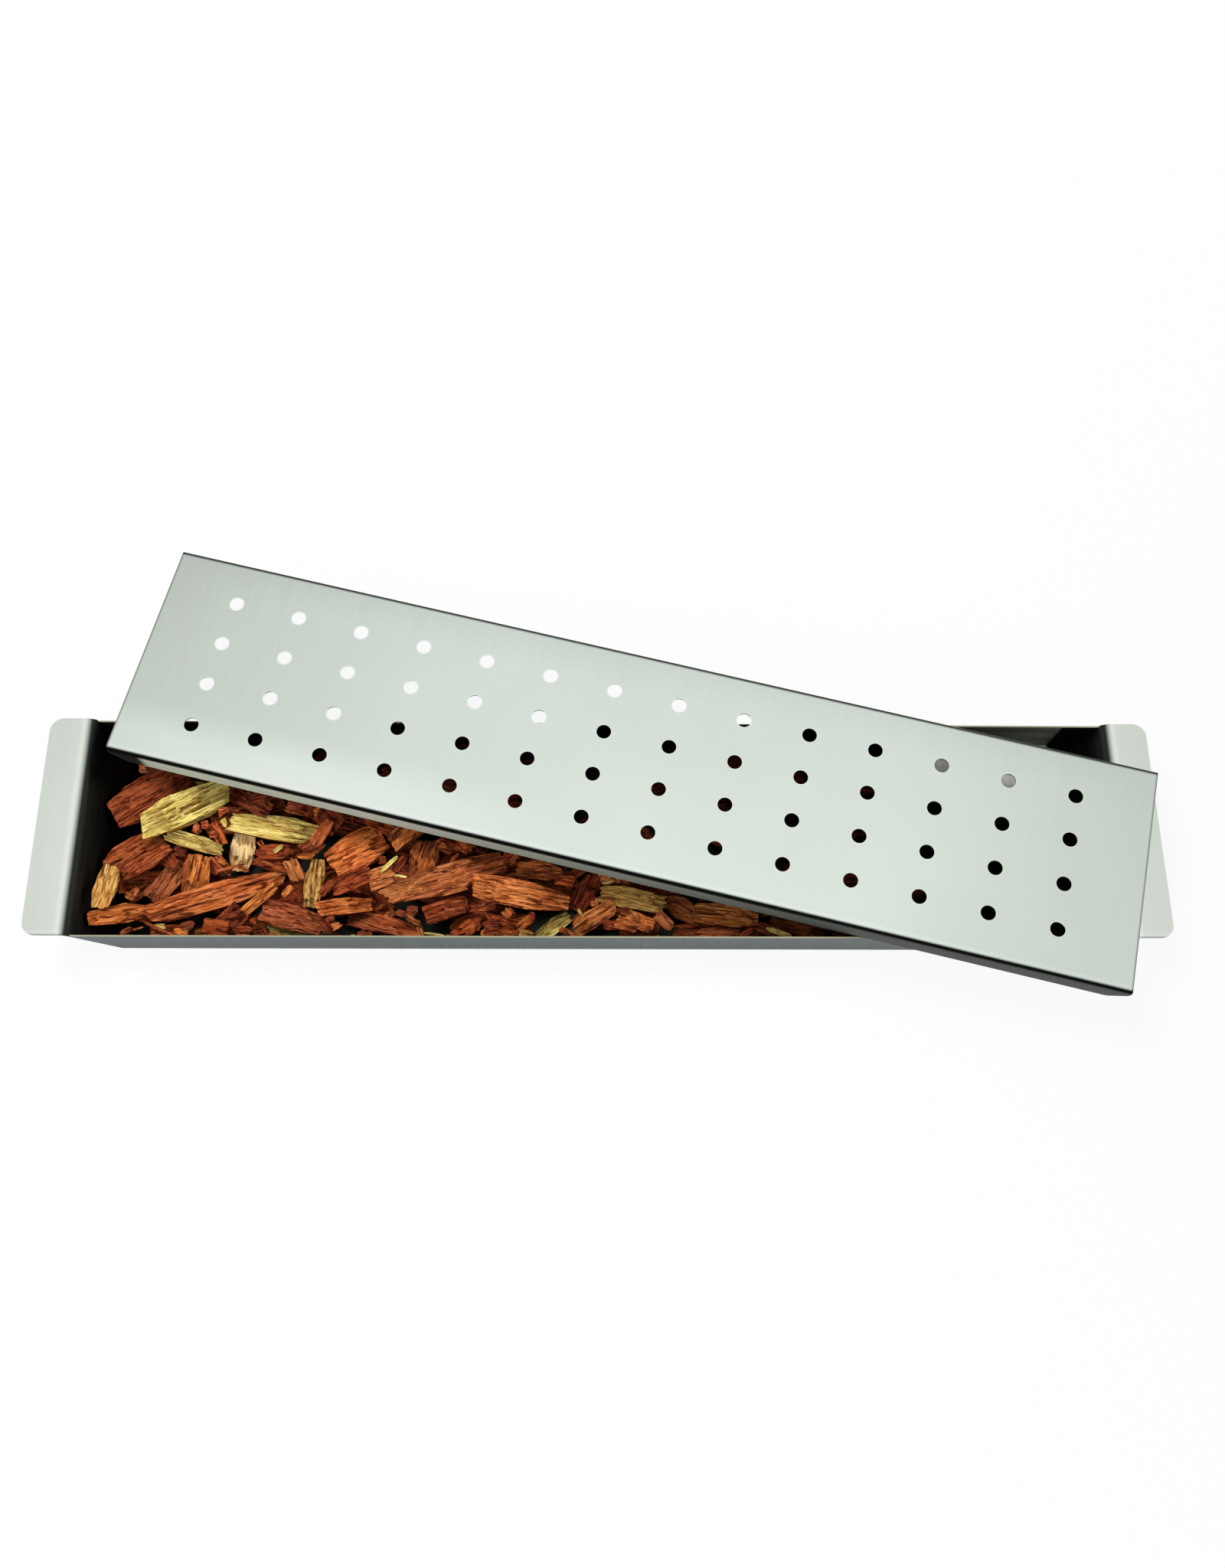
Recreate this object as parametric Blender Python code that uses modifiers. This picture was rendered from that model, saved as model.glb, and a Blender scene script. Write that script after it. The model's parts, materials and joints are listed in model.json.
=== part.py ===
"""Smoker tray: a folded sheet tray, its loose perforated lid and the wood chips that it holds.

Metres, +Z up. The origin is the middle of the tray's underside and +X runs along the tray.
The lid lies skewed across the open tray, as a cook leaves it while the tray is being filled.
"""
import math
import random

import bmesh
import bpy
import numpy as np
from mathutils import Euler, Matrix, Vector

# Sheet metal
sheet = 0.0006                  # stainless sheet of tray and lid
rest_gap = 0.0003               # clearance between pieces that lie on each other
steep = math.radians(89)        # a face steeper than this counts as upright

# Tray, measured over its outside
tray_width = 0.0836
tray_depth = 0.0200             # underside of the floor to the rim
floor_length = 0.3562           # over the sloped ends, at the floor
end_lean = 0.0138               # how far each sloped end leans out, up to the rim
floor_fold = 0.0010             # run of the folds round the floor
tab_reach = 0.01645             # a tab's outer edge beyond the rim's end
tab_rise = 0.0022               # top of a tab above the rim
tab_fold_radius = 0.0034        # under the sheet, where an end turns out into its tab
tab_corner_radius = 0.0050
rim_corner = 0.0020             # how far the corners with the sloped ends reach along the rim
tray_fold_steps = 4
tab_corner_steps = 6

# Lid, measured over its outside
lid_play = 0.0003               # each side, when the lid is closed over the tray's walls
lid_end_play = 0.00125          # each end, between the closed lid and the tabs' bends
flange_depth = 0.0100
flange_end_depth = 0.0038       # what is left of a flange at the lid's end
flange_end_cut = 0.0058         # length of the slanted cut there
flange_tip_round = 0.0012
lid_fold_radius = 0.0010
lid_fold_steps = 3
lid_tip_steps = 2

# Smoke holes
hole_diameter = 0.0055
hole_columns = 14
hole_rows = 4
column_pitch = 0.0250
row_pitch = 0.0172
pattern_shift = 0.0005          # the pattern sits a little left of the lid's middle
hole_sides = 16
cut_overrun = 0.0010

# How the lid lies on the tray
lid_turn = math.radians(-13.87)
lid_tip = math.radians(0.6)     # left end low
lid_right = 0.0109              # middle of the lid, right of the tray's middle
lid_back = 0.0228               # middle of the lid, behind the tray's middle

# Wood chips: the largest one, and the long flat ones at the bottom
chip_length = 0.0600
chip_width = 0.0180
chip_thickness = 0.0048
bed_chip_length = 0.0480
bed_chip_width = 0.0165
bed_chip_thickness = 0.0030
bed_columns = 7
bed_rows = 2
heap_below_rim = 0.0002
heap_cell = 0.0007              # grid on which the chips are stacked
chip_seed = 7

# Worked out from the sizes above
rim_length = floor_length + 2 * end_lean
tab_span = rim_length + 2 * tab_reach
lid_length = rim_length - 2 * lid_end_play
lid_width = tray_width + 2 * (lid_play + sheet)
tab_top = tray_depth + tab_rise
end_slope = math.atan2(tray_depth, end_lean)
lid_height = (tab_top + rest_gap + flange_depth * math.cos(lid_tip)
              - (lid_length / 2 - flange_end_cut) * math.sin(lid_tip))

STEEL = (0.62, 0.64, 0.62)
STEEL_ROUGHNESS = 0.3
WOOD_ROUGHNESS = 0.7
WOOD = {
    "red": (0.36, 0.13, 0.07),
    "dark": (0.22, 0.07, 0.04),
    "orange": (0.46, 0.17, 0.07),
    "ochre": (0.50, 0.34, 0.13),
    "yellow": (0.68, 0.52, 0.22),
    "cream": (0.72, 0.50, 0.32),
}

# Chips that show in front of the lid, bottom ones first, chosen by hand. Place as shares of the
# rim's half length and the half width inside, then length, width and thickness as shares of the
# largest chip, the heading in degrees and the wood.
picked_chip_shares = [
    (-0.90, 0.45, 0.40, 0.50, 0.36, 30, "dark"),
    (-0.70, 0.20, 0.55, 0.60, 0.60, 15, "dark"),
    (-0.45, 0.05, 0.60, 0.60, 0.64, -20, "dark"),
    (-0.62, -0.10, 0.60, 0.50, 0.60, 60, "dark"),
    (-0.88, -0.45, 0.45, 0.55, 0.36, 0, "dark"),
    (-0.30, -0.15, 0.55, 0.60, 0.64, 25, "dark"),
    (-0.72, -0.86, 0.50, 0.42, 0.56, 8, "red"),
    (-0.47, -0.50, 0.50, 0.50, 0.56, -35, "dark"),
    (-0.14, -0.30, 0.50, 0.50, 0.64, 10, "dark"),
    (-0.22, -0.82, 0.55, 0.45, 0.60, 5, "dark"),
    (0.04, -0.72, 0.50, 0.45, 0.64, 12, "dark"),
    (0.30, -0.86, 0.50, 0.45, 0.56, -4, "red"),
    (-0.91, 0.36, 0.60, 0.92, 0.70, 39, "dark"),
    (-0.86, -0.70, 0.34, 0.42, 0.50, 2, "dark"),
    (-0.85, -0.46, 0.34, 0.52, 0.45, 55, "red"),
    (-0.59, -0.88, 0.40, 0.36, 0.50, -8, "yellow"),
    (-0.44, -0.85, 0.54, 0.42, 0.70, -15, "red"),
    (-0.10, -0.85, 0.30, 0.34, 0.50, 35, "yellow"),
    (-0.27, -0.88, 0.26, 0.46, 0.60, 20, "dark"),
    (0.20, -0.88, 0.50, 0.40, 0.60, 0, "red"),
    (0.41, -0.90, 0.42, 0.34, 0.50, -16, "red"),
    (0.16, -0.68, 0.30, 0.46, 0.60, -31, "orange"),
    (-0.03, -0.50, 0.30, 0.46, 0.60, 61, "dark"),
    (-0.12, -0.33, 0.34, 0.42, 0.60, -5, "orange"),
    (-0.87, -0.17, 0.36, 0.44, 0.45, -34, "dark"),
    (-0.905, -0.24, 0.44, 0.90, 0.60, 39, "dark"),
    (-0.80, -0.08, 0.40, 0.34, 0.50, -15, "yellow"),
    (-0.71, -0.14, 0.28, 0.52, 0.70, 84, "cream"),
    (-0.79, -0.38, 0.32, 0.60, 0.70, 80, "orange"),
    (-0.48, -0.14, 0.42, 0.88, 0.90, 38, "red"),
    (-0.35, -0.22, 0.32, 0.64, 0.80, 78, "orange"),
    (-0.64, 0.06, 0.68, 0.56, 0.80, -7, "yellow"),
    (-0.82, 0.22, 0.68, 0.78, 0.90, 31, "yellow"),
    (-0.94, -0.80, 0.40, 0.42, 0.60, 12, "orange"),
    (-0.945, -0.56, 0.34, 0.50, 0.50, 80, "ochre"),
    (-0.75, -0.60, 1.00, 0.60, 0.90, 19, "red"),
    (-0.56, -0.46, 0.36, 0.46, 0.80, 84, "ochre"),
    (-0.60, -0.78, 0.44, 0.54, 0.70, -15, "red"),
    (-0.50, -0.68, 0.40, 0.38, 0.70, 9, "red"),
    (-0.30, -0.43, 0.92, 0.60, 0.90, 20, "red"),
    (-0.16, -0.56, 0.70, 0.60, 0.80, -9, "red"),
    (0.06, -0.60, 0.48, 0.50, 0.70, -10, "ochre"),
    (-0.02, -0.80, 0.36, 0.40, 0.60, 30, "orange"),
    (0.24, -0.76, 0.46, 0.50, 0.70, -9, "orange"),
]
# Cross-sections along a chip: the least and most width and thickness of each
section_width_shares = ((0.55, 0.95), (0.88, 1.0), (0.88, 1.0), (0.45, 0.90))
section_thickness_shares = ((0.35, 0.70), (0.85, 1.0), (0.80, 1.0), (0.30, 0.65))
slant_share = 0.12              # how far a corner of a split end lies back
wobble_share = 0.06
# Where the bottom chips lie, along the tray and across it
bed_start_share = -0.94
bed_end_share = 0.70
bed_front_share = -0.80
bed_back_share = 1.0
bed_jitter_shares = (0.35, 0.65)
bed_shrink_share = 0.75         # the shortest of them against the longest
bed_heading_spread = math.radians(38)
# A chip that finds no room is tried thinner and nearer the tray's middle, and then on the bare
# floor at the far end, under the lid
fallback_shares = ((1, 1), (1, 0.985), (1, 0.97), (0.75, 1), (0.75, 0.96), (1, 0.93), (0.75, 0.92),
                   (1, 0.88), (0.75, 0.86), (1, 0.8), (0.75, 0.7), (0.75, 0.5), (0.5, 1), (0.5, 0.92))
spare_place_shares = ((0.80, 0), (0.78, -0.5), (0.78, 0.5), (0.6, 0.2), (0.6, -0.4))
tilt_step = math.radians(8)
tilt_refine = math.radians(4)


def collection(name):
    made = bpy.data.collections.new(name)
    bpy.context.scene.collection.children.link(made)
    return made


def principled(name, color, roughness, metallic):
    made = bpy.data.materials.new(name)
    made.use_nodes = True
    shader = made.node_tree.nodes["Principled BSDF"]
    shader.inputs["Base Color"].default_value = (*color, 1)
    shader.inputs["Roughness"].default_value = roughness
    shader.inputs["Metallic"].default_value = metallic
    return made


def add_object(name, bm, home, material=None):
    mesh = bpy.data.meshes.new(name)
    bm.to_mesh(mesh)
    bm.free()
    made = bpy.data.objects.new(name, mesh)
    home.objects.link(made)
    if material:
        mesh.materials.append(material)
    return made


def along_y(edge):
    first, second = edge.verts
    return abs(first.co.x - second.co.x) < rest_gap and abs(first.co.z - second.co.z) < rest_gap


def middle(edge):
    return (edge.verts[0].co + edge.verts[1].co) / 2


def fold(bm, edges, run, steps):
    bmesh.ops.bevel(bm, geom=edges, offset=run, offset_type="OFFSET", segments=steps,
                    profile=0.5, affect="EDGES")


def round_corners(bm, corners, radius, steps):
    bmesh.ops.bevel(bm, geom=corners, offset=radius, offset_type="OFFSET", segments=steps,
                    profile=0.5, affect="VERTICES")


def face_out(bm, outside):
    """Turn an open skin's faces to one side, the one on which its widest face looks outside."""
    bmesh.ops.recalc_face_normals(bm, faces=bm.faces)
    bm.normal_update()
    widest = max(bm.faces, key=lambda face: face.calc_area())
    if widest.normal.dot(outside) < 0:
        bmesh.ops.reverse_faces(bm, faces=bm.faces)
    bm.normal_update()


def thicken(target):
    """Give a skin its sheet thickness, inwards from the measured outside."""
    made = target.modifiers.new("sheet", "SOLIDIFY")
    made.thickness = sheet
    made.offset = -1
    made.use_even_offset = True
    made.use_quality_normals = True


def box(length, width, height):
    bm = bmesh.new()
    bmesh.ops.create_cube(bm, size=1)
    bmesh.ops.scale(bm, vec=(length, width, height), verts=bm.verts)
    return bm


def extend_end(bm, side, x, z):
    """Pull the outermost edge of one end of the tray out to a new place."""
    reach = max(side * middle(e).x for e in bm.edges if along_y(e))
    edges = [e for e in bm.edges if along_y(e) and side * middle(e).x > reach - rest_gap
             and e.is_boundary]
    pulled = bmesh.ops.extrude_edge_only(bm, edges=edges)["geom"]
    for vert in (v for v in pulled if isinstance(v, bmesh.types.BMVert)):
        vert.co.x = side * x
        vert.co.z = z


def end_rim(bm):
    """Split the side walls beside their corners, so that the rim between them stays level."""
    for side in (-1, 1):
        walls = [f for f in bm.faces if abs(f.normal.y) > math.sin(steep)]
        edges = {e for f in walls for e in f.edges}
        verts = {v for f in walls for v in f.verts}
        bmesh.ops.bisect_plane(bm, geom=walls + list(edges) + list(verts),
                               plane_co=(side * (rim_length / 2 - rim_corner), 0, 0),
                               plane_no=(side, 0, 0))


def build_tray(home):
    """One sheet: floor, upright sides, and sloped ends that turn out into flat tabs."""
    bm = box(rim_length, tray_width, tray_depth)
    bmesh.ops.translate(bm, vec=(0, 0, tray_depth / 2), verts=bm.verts)
    for vert in bm.verts:
        if vert.co.z < tray_depth / 2:
            vert.co.x *= floor_length / rim_length
    bm.normal_update()
    top = [f for f in bm.faces if f.normal.z > math.cos(end_slope)]
    bmesh.ops.delete(bm, geom=top, context="FACES_ONLY")

    tab_low = tab_top - sheet
    fold_x = rim_length / 2 + (tab_low - tray_depth) / math.tan(end_slope)
    for side in (-1, 1):
        extend_end(bm, side, fold_x, tab_low)
        extend_end(bm, side, tab_span / 2, tab_low)
    face_out(bm, Vector((0, 0, -1)))

    bends = [e for e in bm.edges if along_y(e) and abs(abs(middle(e).x) - fold_x) < rest_gap]
    fold(bm, bends, tab_fold_radius * math.tan(end_slope / 2), tray_fold_steps)
    corners = [v for v in bm.verts if abs(v.co.x) > tab_span / 2 - rest_gap]
    round_corners(bm, corners, tab_corner_radius, tab_corner_steps)
    low = [e for e in bm.edges if all(v.co.z < rest_gap for v in e.verts)]
    fold(bm, low, floor_fold, tray_fold_steps)
    end_rim(bm)

    tray = add_object("tray", bm, home, principled("tray_steel", STEEL, STEEL_ROUGHNESS, 1))
    thicken(tray)
    return tray


def hole_cutter(home):
    bm = bmesh.new()
    for column in range(hole_columns):
        for row in range(hole_rows):
            x = (column - (hole_columns - 1) / 2) * column_pitch - pattern_shift
            y = (row - (hole_rows - 1) / 2) * row_pitch
            bmesh.ops.create_cone(bm, cap_ends=True, segments=hole_sides,
                                  radius1=hole_diameter / 2, radius2=hole_diameter / 2,
                                  depth=sheet + 2 * cut_overrun,
                                  matrix=Matrix.Translation((x, y, -sheet / 2)))
    cutter = add_object("smoke_hole_cutter", bm, home)
    cutter.hide_render = True
    cutter.display_type = "WIRE"
    return cutter


def lid_pose():
    turn = Matrix.Rotation(lid_turn, 4, "Z") @ Matrix.Rotation(-lid_tip, 4, "Y")
    return Matrix.Translation((lid_right, lid_back, lid_height)) @ turn


def build_lid(home, cutters):
    """One sheet: a perforated plate with a flange down each long side, open at its ends."""
    bm = box(lid_length, lid_width, flange_depth)
    bmesh.ops.translate(bm, vec=(0, 0, -flange_depth / 2), verts=bm.verts)
    bm.normal_update()
    gone = [f for f in bm.faces if f.normal.z < -math.cos(end_slope)
            or abs(f.normal.x) > math.cos(end_slope)]
    bmesh.ops.delete(bm, geom=gone, context="FACES")
    for side in (-1, 1):
        bmesh.ops.bisect_plane(
            bm, geom=bm.verts[:] + bm.edges[:] + bm.faces[:], clear_outer=True,
            plane_co=(side * lid_length / 2, 0, -flange_end_depth),
            plane_no=(side * (flange_depth - flange_end_depth), 0, -flange_end_cut))
    face_out(bm, Vector((0, 0, 1)))
    tips = [v for v in bm.verts if v.co.z < -rest_gap]
    round_corners(bm, tips, flange_tip_round, lid_tip_steps)
    long_edges = [e for e in bm.edges if not e.is_boundary and not along_y(e)]
    fold(bm, long_edges, lid_fold_radius, lid_fold_steps)

    lid = add_object("lid", bm, home, principled("lid_steel", STEEL, STEEL_ROUGHNESS, 1))
    thicken(lid)
    cutter = hole_cutter(cutters)
    holes = lid.modifiers.new("smoke_holes", "BOOLEAN")
    holes.operation = "DIFFERENCE"
    holes.object = cutter
    seat = bpy.data.objects.new("lid_seat", None)
    home.objects.link(seat)
    seat.matrix_world = lid_pose()
    lid.parent = seat
    cutter.parent = seat
    return lid


def chip_shape(size, draw):
    """A split chip: a bar with uneven cross-sections, closed to its convex hull."""
    length, width, thickness = size
    bar = bmesh.new()
    bmesh.ops.create_cube(bar, size=1)
    runs = [e for e in bar.edges if abs(e.verts[0].co.x - e.verts[1].co.x) > 0]
    wide = [draw.uniform(*span) for span in section_width_shares]
    thick = [draw.uniform(*span) for span in section_thickness_shares]
    cuts = len(section_width_shares) - 2
    bmesh.ops.subdivide_edges(bar, edges=runs, cuts=cuts)
    points = []
    for vert in bar.verts:
        station = round((vert.co.x + 1 / 2) * (cuts + 1))
        lean = slant_share if station in (0, cuts + 1) else wobble_share
        x = vert.co.x - math.copysign(draw.uniform(0, lean), vert.co.x)
        y = vert.co.y * wide[station] + draw.uniform(-wobble_share, wobble_share) / 2
        z = vert.co.z * thick[station] + draw.uniform(-wobble_share, wobble_share) / 2
        points.append((x * length, y * width, z * thickness))
    bar.free()
    bm = bmesh.new()
    for point in points:
        bm.verts.new(point)
    hull = bmesh.ops.convex_hull(bm, input=bm.verts)
    spare = {v for v in hull["geom_interior"] + hull["geom_unused"]
             if isinstance(v, bmesh.types.BMVert)}
    bmesh.ops.delete(bm, geom=list(spare), context="VERTS")
    bmesh.ops.recalc_face_normals(bm, faces=bm.faces)
    bm.normal_update()
    return bm


class Heap:
    """Height map of the tray's inside, on which chips are laid down one by one."""

    def __init__(self):
        reach_x, reach_y = rim_length / 2, tray_width / 2
        self.xs = np.arange(-reach_x, reach_x, heap_cell) + heap_cell / 2
        self.ys = np.arange(-reach_y, reach_y, heap_cell) + heap_cell / 2
        grid_x, grid_y = np.meshgrid(self.xs, self.ys, indexing="ij")
        self.solid = self.tray_inside(grid_x, grid_y)
        self.roof = self.lid_underside(grid_x, grid_y)

    def tray_inside(self, x, y):
        slope = math.tan(end_slope)
        skin = sheet / math.cos(end_slope)
        beyond = np.abs(x) + heap_cell / 2 - floor_length / 2
        height = np.maximum(beyond * slope + skin, sheet)
        beside = np.abs(y) > tray_width / 2 - sheet - rest_gap - heap_cell
        out_of_reach = tab_span
        return np.where(beside, out_of_reach, height)

    def lid_underside(self, x, y):
        """The chips stay below the rim, and below the flanges where these cross the tray."""
        to_lid = lid_pose().inverted()
        level = np.full_like(x, tray_depth - heap_below_rim)
        local_x = to_lid[0][0] * x + to_lid[0][1] * y + to_lid[0][2] * tray_depth + to_lid[0][3]
        local_y = to_lid[1][0] * x + to_lid[1][1] * y + to_lid[1][2] * tray_depth + to_lid[1][3]
        margin = rest_gap + 2 * heap_cell
        near = np.abs(local_x) < lid_length / 2 + margin
        near &= np.abs(np.abs(local_y) - (lid_width - sheet) / 2) < sheet / 2 + margin
        foot = lid_height - flange_depth * math.cos(lid_tip) + local_x * math.sin(lid_tip)
        return np.where(near, np.minimum(level, foot - rest_gap - margin * math.tan(lid_tip)), level)

    def lay(self, chip, x, y, turn, commit=False):
        """Lower a chip, given by its face planes, onto the heap: its height, or None."""
        planes, reach = chip
        normals = planes[:, :3] @ np.array(turn.transposed())
        pick_x = np.abs(self.xs - x) < reach
        pick_y = np.abs(self.ys - y) < reach
        dx, dy = np.meshgrid(self.xs[pick_x] - x, self.ys[pick_y] - y, indexing="ij")
        top = np.full_like(dx, chip_length)
        low = np.full_like(dx, -chip_length)
        level = math.cos(steep)
        for (nx, ny, nz), offset in zip(normals, planes[:, 3]):
            spare = (abs(nx) + abs(ny)) * heap_cell / 2
            if nz > level:
                top = np.minimum(top, (offset + spare - nx * dx - ny * dy) / nz)
            elif nz < -level:
                low = np.maximum(low, (offset + spare - nx * dx - ny * dy) / nz)
            else:
                top = np.where(nx * dx + ny * dy > offset + spare, -chip_length, top)
        inside = top >= low
        window = np.ix_(pick_x, pick_y)
        solid, roof = self.solid[window], self.roof[window]
        if not inside.any():
            return None
        height = float((solid[inside] - low[inside]).max()) + rest_gap
        if height > float((roof[inside] - top[inside]).min()):
            return None
        if commit:
            self.solid[window] = np.where(inside, np.maximum(solid, top + height), solid)
        return height

    def settle(self, chip, x, y, heading):
        """Try tilts and keep the one in which the chip lies lowest."""
        best = None
        tilts = [(a * tilt_step, b * tilt_step) for a in (-1, 0, 1) for b in (-1, 0, 1)]
        for step in (None, tilt_refine):
            if step is not None:
                if best is None:
                    break
                _, a, b, _ = best
                tilts = [(a + step, b), (a - step, b), (a, b + step), (a, b - step)]
            for roll, pitch in tilts:
                turn = Euler((roll, pitch, heading), "XYZ").to_matrix()
                height = self.lay(chip, x, y, turn)
                if height is not None and (best is None or height < best[0]):
                    best = (height, roll, pitch, turn)
        return best


def chip_planes(bm):
    """The planes of a chip's faces, and how far it reaches from its middle."""
    planes = np.array([(*f.normal, f.normal.dot(f.verts[0].co)) for f in bm.faces])
    return planes, max(v.co.length for v in bm.verts) + heap_cell


def drop_chip(heap, size, place, heading, draw):
    """Lay a chip on the heap, or where it finds room."""
    length, width, thickness = size
    shape_seed = draw.random()
    tries = [(thin, place[0] * inward, place[1] * inward) for thin, inward in fallback_shares]
    tries += [(1, along * floor_length / 2, across * tray_width / 2)
              for along, across in spare_place_shares]
    for thin, x, y in tries:
        bm = chip_shape((length, width, thickness * thin), random.Random(shape_seed))
        chip = chip_planes(bm)
        found = heap.settle(chip, x, y, heading)
        if found:
            height, _, _, turn = found
            heap.lay(chip, x, y, turn, commit=True)
            return bm, Matrix.Translation((x, y, height)) @ turn.to_4x4()
        bm.free()
    return None


def lay_bed(heap, draw):
    """Long flat chips on the floor, in rows that run the whole way under the lid."""
    start, end = (share * floor_length / 2 for share in (bed_start_share, bed_end_share))
    front, back = (share * tray_width / 2 for share in (bed_front_share, bed_back_share))
    for column in range(bed_columns):
        for row in range(bed_rows):
            x = start + (column + draw.uniform(*bed_jitter_shares)) * (end - start) / bed_columns
            y = front + (row + draw.uniform(*bed_jitter_shares)) * (back - front) / bed_rows
            grow = draw.uniform(bed_shrink_share, 1)
            size = (bed_chip_length * grow, bed_chip_width * grow, bed_chip_thickness)
            heading = draw.uniform(-bed_heading_spread, bed_heading_spread)
            yield "dark", drop_chip(heap, size, (x, y), heading, draw)


def lay_picked(heap, draw):
    """The chips that show in front of the lid, each in its own place."""
    for along, across, long, wide, thick, heading, tone in picked_chip_shares:
        size = (long * chip_length, wide * chip_width, thick * chip_thickness)
        place = (along * rim_length / 2, across * (tray_width / 2 - sheet))
        yield tone, drop_chip(heap, size, place, math.radians(heading), draw)


def build_chips(home):
    draw = random.Random(chip_seed)
    heap = Heap()
    laid = list(lay_bed(heap, draw)) + list(lay_picked(heap, draw))
    for index, (tone, chip) in enumerate(laid):
        if chip is None:
            continue
        bm, matrix = chip
        name = f"wood_chip_{index + 1:02d}"
        wood = principled(f"{name}_wood", WOOD[tone], WOOD_ROUGHNESS, 0)
        made = add_object(name, bm, home, wood)
        made.matrix_world = matrix


def main():
    for old in list(bpy.data.objects):
        bpy.data.objects.remove(old)
    parts = collection("smoker_tray")
    cutters = collection("cutters")
    build_tray(parts)
    build_lid(parts, cutters)
    build_chips(parts)


main()
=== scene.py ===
"""Looks of the smoker tray: brushed steel sheet, split wood chips and a pale studio.

Metres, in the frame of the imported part: +X along the tray, +Z up, the floor at zero.
"""
import json
import math
import random

import bmesh
import bpy
import numpy as np
from mathutils import Matrix, Vector, noise
from mathutils.bvhtree import BVHTree


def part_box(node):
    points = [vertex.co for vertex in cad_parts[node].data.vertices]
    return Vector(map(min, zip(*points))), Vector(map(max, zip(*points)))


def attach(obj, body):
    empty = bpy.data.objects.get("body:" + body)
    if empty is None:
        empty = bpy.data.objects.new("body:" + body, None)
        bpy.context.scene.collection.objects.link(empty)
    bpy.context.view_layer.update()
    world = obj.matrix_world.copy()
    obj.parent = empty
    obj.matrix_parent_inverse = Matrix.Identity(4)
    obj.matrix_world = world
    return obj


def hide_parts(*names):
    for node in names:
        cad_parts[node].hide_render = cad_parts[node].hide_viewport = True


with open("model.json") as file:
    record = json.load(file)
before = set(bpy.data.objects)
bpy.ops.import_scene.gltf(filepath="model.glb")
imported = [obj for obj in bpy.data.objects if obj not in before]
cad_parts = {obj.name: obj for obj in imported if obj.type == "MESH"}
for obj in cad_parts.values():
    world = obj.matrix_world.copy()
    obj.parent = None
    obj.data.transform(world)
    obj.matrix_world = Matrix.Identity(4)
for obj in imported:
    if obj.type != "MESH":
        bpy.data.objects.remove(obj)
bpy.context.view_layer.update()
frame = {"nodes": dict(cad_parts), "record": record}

MM = 0.001

# Camera, as the photograph's
camera_elevation = math.radians(70.617)
camera_azimuth = math.radians(-3.499)
camera_roll = math.radians(3.571)
camera_distance = 0.502923
camera_target = Vector((0.003777, 0.017238, 0.0200))
focal_px = 1743.425
image_height_px = 2048
sensor_mm = 36

# Sheet metal
sheet = 0.6 * MM
rest_gap = 0.3 * MM
rim_length = 383.8 * MM
floor_length = 356.2 * MM
tray_depth = 20.0 * MM
tab_fold_radius = 3.4 * MM
tab_corner_radius = 5.0 * MM
floor_fold = 1.0 * MM
rim_corner = 2.0 * MM
steep = math.radians(89)        # a face steeper than this counts as upright
lid_length = 381.3 * MM
lid_play = 0.3 * MM
flange_depth = 10.0 * MM
flange_end_depth = 3.8 * MM
flange_end_cut = 5.8 * MM
flange_tip_round = 1.2 * MM
lid_fold_radius = 1.0 * MM
hole_diameter = 5.5 * MM
hole_columns = 14
hole_rows = 4
column_pitch = 25.0 * MM
row_pitch = 17.2 * MM
pattern_shift = 0.5 * MM
hole_sides = 48
lid_turn = math.radians(-13.87)
lid_tip = math.radians(0.6)
lid_right = 10.9 * MM
lid_back = 22.8 * MM
tab_fold_steps = 8
tab_corner_steps = 12
floor_fold_steps = 6
lid_fold_steps = 8
lid_tip_steps = 6
steel_crease = math.radians(30)     # an edge sharper than this isn't shaded smooth
leaning = 0.3                   # least part of a face's normal along an axis to lean that way
facing = 0.5                    # and to face that way

tray_low, tray_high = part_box("tray")
tab_span = tray_high.x - tray_low.x
tray_width = tray_high.y - tray_low.y
tab_top = tray_high.z
lid_width = tray_width + 2 * (lid_play + sheet)
end_slope = math.atan2(tray_depth, (rim_length - floor_length) / 2)
fold_x = rim_length / 2 + (tab_top - sheet - tray_depth) / math.tan(end_slope)
bend_run = tab_fold_radius * math.tan(end_slope / 2)
bend_start = fold_x + bend_run          # where a tab's flat ends
bend_end = fold_x - bend_run            # where the sloped end begins
plate_edge = lid_width / 2 - lid_fold_radius    # where the plate's flat ends
flange_top = -0.98 * lid_fold_radius    # a little above the end of the fold
lid_height = (tab_top + rest_gap + flange_depth * math.cos(lid_tip)
              - (lid_length / 2 - flange_end_cut) * math.sin(lid_tip))

# Where the tray's steel changes tone, by painted highlights, shade and reflections. A glint is its middle
# and half its width.
tab_glint = (bend_start + 1.0 * MM, 1.4 * MM)
tab_dark = (bend_start + 0.2 * MM, fold_x)
tab_front_edge = (0.7 * MM - tray_width / 2, 0.2 * MM - tray_width / 2)
tab_front_glint = (1.2 * MM - tray_width / 2, 0.8 * MM)
# up to this height the walls' painted shade fades out
wall_light = tray_depth - 2 * MM
reflection_end = floor_length / 2 - 0.5 * MM  # right end of the painted reflection patch
reflection_soft = 1 * MM
reflection_inside = (112 * MM, 134 * MM)      # from its left end to where it is plainest
reflection_back_wall = (126 * MM, 172 * MM)
reflection_depth = (19 * MM, 23 * MM)
# from here up to the rim the inside's painted shade lightens
inside_rim = tray_depth - 4 * MM
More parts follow.
